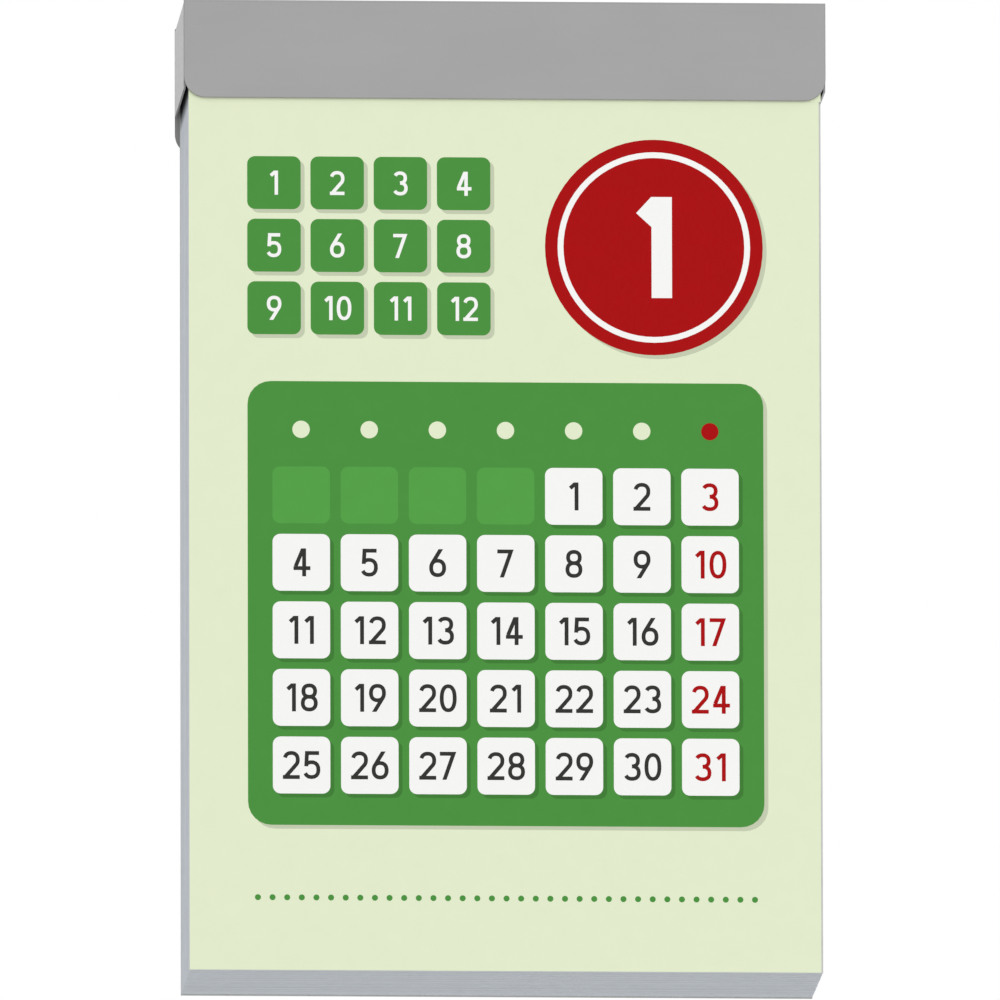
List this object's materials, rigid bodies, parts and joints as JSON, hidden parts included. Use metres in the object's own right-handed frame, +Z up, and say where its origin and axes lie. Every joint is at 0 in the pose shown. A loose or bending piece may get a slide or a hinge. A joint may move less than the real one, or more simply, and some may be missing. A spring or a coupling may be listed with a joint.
{
  "type": "tear-off day calendar",
  "caption": "Pocket block calendar: thin tear-off day leaves with a printed cover and grey backing card, stitched at the head and gripped in a folded sheet-metal cap with a nail hole.",
  "frame": {"origin": "middle of the foot of the block's box, on the surface that it stands on", "axes": "+Z up along the leaves to the head cap, +Y from the cover to the back, +X to the right seen from the front"},
  "size_m": [0.066, 0.02, 0.1006],
  "materials": {
    "cap_lacquer": "satin grey lacquer on tinplate",
    "wire": "galvanised stitching wire",
    "cover_print": "printed smooth cover paper",
    "leaf_paper": "thin uncoated printing paper",
    "grey_board": "uncoated grey board"
  },
  "bodies": {
    "block": {"head_cap": "cap_lacquer", "backing_card": "grey_board", "left_staple": "wire", "right_staple": "wire", "cover_stub": "cover_print", "january_stubs": "leaf_paper", "day_1_stub": "leaf_paper", "day_2_stub": "leaf_paper", "day_3_stub": "leaf_paper", "day_4_stub": "leaf_paper", "day_5_stub": "leaf_paper", "day_6_stub": "leaf_paper", "day_7_stub": "leaf_paper", "february_leaves": "leaf_paper", "march_leaves": "leaf_paper", "april_leaves": "leaf_paper", "may_leaves": "leaf_paper", "june_leaves": "leaf_paper", "july_leaves": "leaf_paper", "august_leaves": "leaf_paper", "september_leaves": "leaf_paper", "october_leaves": "leaf_paper", "november_leaves": "leaf_paper", "december_leaves": "leaf_paper"},
    "january": {"january_leaves": "leaf_paper"},
    "cover": {"cover_leaf": "cover_print"},
    "day_1": {"day_1_leaf": "leaf_paper"},
    "day_2": {"day_2_leaf": "leaf_paper"},
    "day_3": {"day_3_leaf": "leaf_paper"},
    "day_4": {"day_4_leaf": "leaf_paper"},
    "day_5": {"day_5_leaf": "leaf_paper"},
    "day_6": {"day_6_leaf": "leaf_paper"},
    "day_7": {"day_7_leaf": "leaf_paper"}
  },
  "joints": [
    {"name": "january_lift", "type": "hinge", "parent": "block", "child": "january", "pos_m": [0, -0.01, 0.0903], "axis": [-1, 0, 0], "range_deg": [0, 75], "stiffness_Nm_per_rad": 0.003, "springref_deg": -3.44},
    {"name": "cover_lift", "type": "hinge", "parent": "january", "child": "cover", "pos_m": [0, -0.01, 0.0903], "axis": [-1, 0, 0], "range_deg": [0, 95], "stiffness_Nm_per_rad": 0.0005, "springref_deg": -3.44},
    {"name": "day_1_tear_off", "type": "slide", "parent": "january", "child": "day_1", "axis": [0, 0, -1], "range_m": [0, 0.095]},
    {"name": "day_2_tear_off", "type": "slide", "parent": "january", "child": "day_2", "axis": [0, 0, -1], "range_m": [0, 0.095]},
    {"name": "day_3_tear_off", "type": "slide", "parent": "january", "child": "day_3", "axis": [0, 0, -1], "range_m": [0, 0.095]},
    {"name": "day_4_tear_off", "type": "slide", "parent": "january", "child": "day_4", "axis": [0, 0, -1], "range_m": [0, 0.095]},
    {"name": "day_5_tear_off", "type": "slide", "parent": "january", "child": "day_5", "axis": [0, 0, -1], "range_m": [0, 0.095]},
    {"name": "day_6_tear_off", "type": "slide", "parent": "january", "child": "day_6", "axis": [0, 0, -1], "range_m": [0, 0.095]},
    {"name": "day_7_tear_off", "type": "slide", "parent": "january", "child": "day_7", "axis": [0, 0, -1], "range_m": [0, 0.095]}
  ]
}
